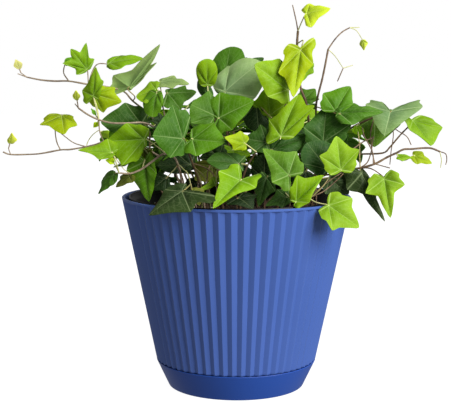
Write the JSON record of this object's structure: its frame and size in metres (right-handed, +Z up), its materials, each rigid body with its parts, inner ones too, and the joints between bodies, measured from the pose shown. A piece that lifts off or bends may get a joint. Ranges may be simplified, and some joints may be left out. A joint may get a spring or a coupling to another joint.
{
  "type": "potted ivy",
  "caption": "Potted ivy plant: trailing leafy stems with lobed leaves, rooted in soil in a nursery pot that stands inside a pleated tapered outer pot with a saucer.",
  "frame": {"origin": "middle of the saucer's flat underside, where it rests on the table", "axes": "+Z up, the pot's axis; -Y towards the viewer of the front; +X to the viewer's right"},
  "size_m": [0.3113, 0.2087, 0.2743],
  "materials": {
    "planter": "satin",
    "saucer": "satin",
    "grower_pot": "semi-gloss",
    "soil": "rough, crumbly",
    "ivy": "waxy"
  },
  "bodies": {
    "root": {"planter": "planter", "saucer": "saucer", "grower_pot": "grower_pot", "soil": "soil", "leafy_stem_left_upper": "ivy", "leafy_stem_left_middle": "ivy", "leafy_stem_left_lower": "ivy", "leafy_stem_left_crown": "ivy", "leafy_stem_centre_left": "ivy", "leafy_stem_centre": "ivy", "leafy_stem_top": "ivy", "leafy_stem_top_right": "ivy", "leafy_stem_front": "ivy", "leafy_stem_front_low": "ivy", "leafy_stem_front_right": "ivy", "leafy_stem_tall": "ivy", "leafy_stem_arching": "ivy", "leafy_stem_right_upper": "ivy", "leafy_stem_right_outer": "ivy", "leafy_stem_right_runner": "ivy", "leafy_stem_right_star": "ivy", "leafy_stem_right_rim": "ivy", "leafy_stem_left_rim": "ivy", "leafy_stem_back_1": "ivy", "leafy_stem_back_2": "ivy", "leafy_stem_back_3": "ivy", "leafy_stem_back_4": "ivy", "leafy_stem_back_5": "ivy"}
  },
  "joints": []
}
